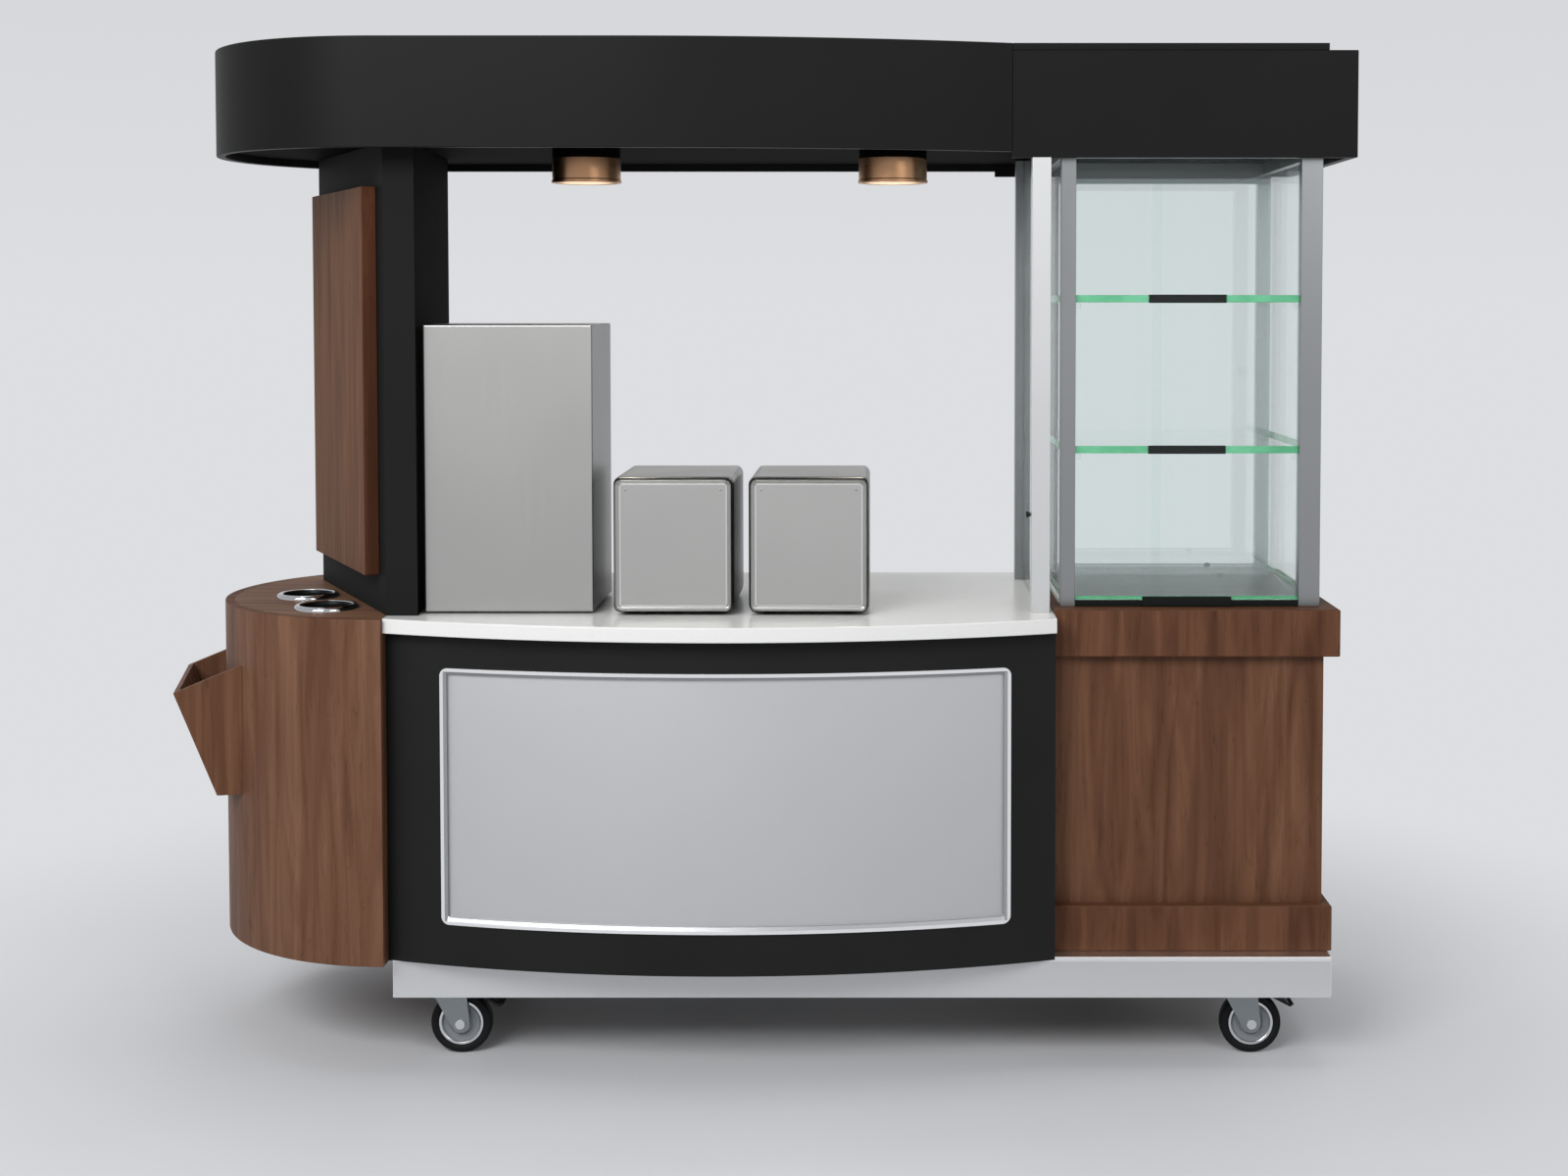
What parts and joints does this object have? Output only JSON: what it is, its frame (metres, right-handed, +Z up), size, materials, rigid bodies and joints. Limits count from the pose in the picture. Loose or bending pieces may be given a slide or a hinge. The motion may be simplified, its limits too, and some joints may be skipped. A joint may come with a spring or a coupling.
{
  "type": "coffee cart",
  "caption": "Mobile coffee cart with a half-round cup drum, bowed counter, steel housings, glass showcase on a cabinet and a lit canopy, on swivel casters.",
  "frame": {"origin": "on the floor, under the middle of the cart's overall footprint", "axes": "+X to the viewer's right along the cart's length, +Y from the customers' side to the seller's side, +Z up"},
  "size_m": [2.4746, 0.932, 2.057],
  "materials": {
    "black_lacquer": "satin black lacquer on board",
    "black_steel": "satin black powder coat on steel sheet",
    "satin_steel": "satin",
    "stainless": "brushed stainless sheet",
    "zinc_steel": "bright zinc plate",
    "silver_panel": "satin anodised sheet",
    "bright_trim": "bright anodised",
    "chrome": "polished",
    "bronze": "brushed bronze",
    "walnut": "satin lacquered walnut veneer on board",
    "carcass_board": "grey faced board",
    "showcase_floor": "grey laminate on board",
    "white_worktop": "polished solid surface",
    "black_plastic": "fine texture",
    "black_rubber": "matt",
    "wheel_plastic": "moulded",
    "tyre_rubber": "black rubber tread",
    "clear_glass": "clear, polished edges",
    "lamp_lens": "frosted"
  },
  "bodies": {
    "cart": {"base_frame": "black_steel", "base_skirt": "satin_steel", "power_inlet": "black_plastic", "counter_boards": "carcass_board", "counter_uprights": "carcass_board", "counter_worktop": "white_worktop", "front_frame": "black_lacquer", "front_panel": "silver_panel", "front_trim": "bright_trim", "drum_wall": "walnut", "drum_boards": "carcass_board", "drum_top": "walnut", "cup_rings": "chrome", "cup_wells": "satin_steel", "side_bin": "walnut", "pillar": "black_steel", "pillar_panel": "walnut", "cabinet_walls": "walnut", "cabinet_boards": "carcass_board", "cabinet_plinth": "walnut", "cabinet_cornice": "walnut", "screen_posts": "bright_trim", "screen_glass": "clear_glass", "showcase_posts": "satin_steel", "showcase_rails": "satin_steel", "showcase_base": "showcase_floor", "showcase_glass": "clear_glass", "showcase_shelves": "clear_glass", "shelf_strips": "black_plastic", "canopy_fascia_left": "black_lacquer", "canopy_fascia_right": "black_lacquer", "canopy_roof": "black_lacquer", "canopy_soffit": "black_lacquer", "downlight_housings": "bronze", "downlight_lenses": "lamp_lens", "tall_casing": "stainless", "small_casings": "stainless", "small_fronts": "stainless", "casing_feet": "black_rubber", "door_hinges": "zinc_steel", "caster_plates": "zinc_steel"},
    "caster_fl": {"caster_fork_fl": "zinc_steel"},
    "wheel_fl": {"caster_wheel_fl": "wheel_plastic", "caster_tyre_fl": "tyre_rubber"},
    "pedal_fl": {"brake_pedal_fl": "zinc_steel"},
    "caster_fr": {"caster_fork_fr": "zinc_steel"},
    "wheel_fr": {"caster_wheel_fr": "wheel_plastic", "caster_tyre_fr": "tyre_rubber"},
    "pedal_fr": {"brake_pedal_fr": "zinc_steel"},
    "caster_rl": {"caster_fork_rl": "zinc_steel"},
    "wheel_rl": {"caster_wheel_rl": "wheel_plastic", "caster_tyre_rl": "tyre_rubber"},
    "caster_rr": {"caster_fork_rr": "zinc_steel"},
    "wheel_rr": {"caster_wheel_rr": "wheel_plastic", "caster_tyre_rr": "tyre_rubber"},
    "counter_door_left": {"counter_door_left": "carcass_board"},
    "counter_door_right": {"counter_door_right": "carcass_board"},
    "cabinet_door": {"cabinet_door": "walnut"},
    "showcase_door_left": {"showcase_door_left": "clear_glass"},
    "showcase_door_right": {"showcase_door_right": "clear_glass"}
  },
  "joints": [
    {"name": "caster_swivel_fl", "type": "hinge", "parent": "cart", "child": "caster_fl", "pos_m": [-0.60673, -0.208, 0.155], "axis": [0, 0, 1], "continuous": true},
    {"name": "wheel_spin_fl", "type": "hinge", "parent": "caster_fl", "child": "wheel_fl", "pos_m": [-0.57873, -0.208, 0.0625], "axis": [0, 1, 0], "continuous": true},
    {"name": "brake_fl", "type": "hinge", "parent": "caster_fl", "child": "pedal_fl", "pos_m": [-0.55673, -0.208, 0.13], "axis": [0, 1, 0], "range_deg": [0, 8]},
    {"name": "caster_swivel_fr", "type": "hinge", "parent": "cart", "child": "caster_fr", "pos_m": [1.01327, -0.208, 0.155], "axis": [0, 0, 1], "continuous": true},
    {"name": "wheel_spin_fr", "type": "hinge", "parent": "caster_fr", "child": "wheel_fr", "pos_m": [1.04127, -0.208, 0.0625], "axis": [0, 1, 0], "continuous": true},
    {"name": "brake_fr", "type": "hinge", "parent": "caster_fr", "child": "pedal_fr", "pos_m": [1.06327, -0.208, 0.13], "axis": [0, 1, 0], "range_deg": [0, 8]},
    {"name": "caster_swivel_rl", "type": "hinge", "parent": "cart", "child": "caster_rl", "pos_m": [-0.60673, 0.284, 0.155], "axis": [0, 0, 1], "continuous": true},
    {"name": "wheel_spin_rl", "type": "hinge", "parent": "caster_rl", "child": "wheel_rl", "pos_m": [-0.57873, 0.284, 0.0625], "axis": [0, 1, 0], "continuous": true},
    {"name": "caster_swivel_rr", "type": "hinge", "parent": "cart", "child": "caster_rr", "pos_m": [1.01327, 0.284, 0.155], "axis": [0, 0, 1], "continuous": true},
    {"name": "wheel_spin_rr", "type": "hinge", "parent": "caster_rr", "child": "wheel_rr", "pos_m": [1.04127, 0.284, 0.0625], "axis": [0, 1, 0], "continuous": true},
    {"name": "counter_door_left_swing", "type": "hinge", "parent": "cart", "child": "counter_door_left", "pos_m": [-0.68573, 0.3885, 0.55], "axis": [0, 0, 1], "range_deg": [0, 90]},
    {"name": "counter_door_right_swing", "type": "hinge", "parent": "cart", "child": "counter_door_right", "pos_m": [0.61227, 0.3885, 0.55], "axis": [0, 0, -1], "range_deg": [0, 90]},
    {"name": "cabinet_door_swing", "type": "hinge", "parent": "cart", "child": "cabinet_door", "pos_m": [1.15927, 0.3885, 0.55], "axis": [0, 0, -1], "range_deg": [0, 110]},
    {"name": "showcase_door_left_slide", "type": "slide", "parent": "cart", "child": "showcase_door_left", "axis": [1, 0, 0], "range_m": [0, 0.21]},
    {"name": "showcase_door_right_slide", "type": "slide", "parent": "cart", "child": "showcase_door_right", "axis": [1, 0, 0], "range_m": [-0.21, 0]}
  ]
}
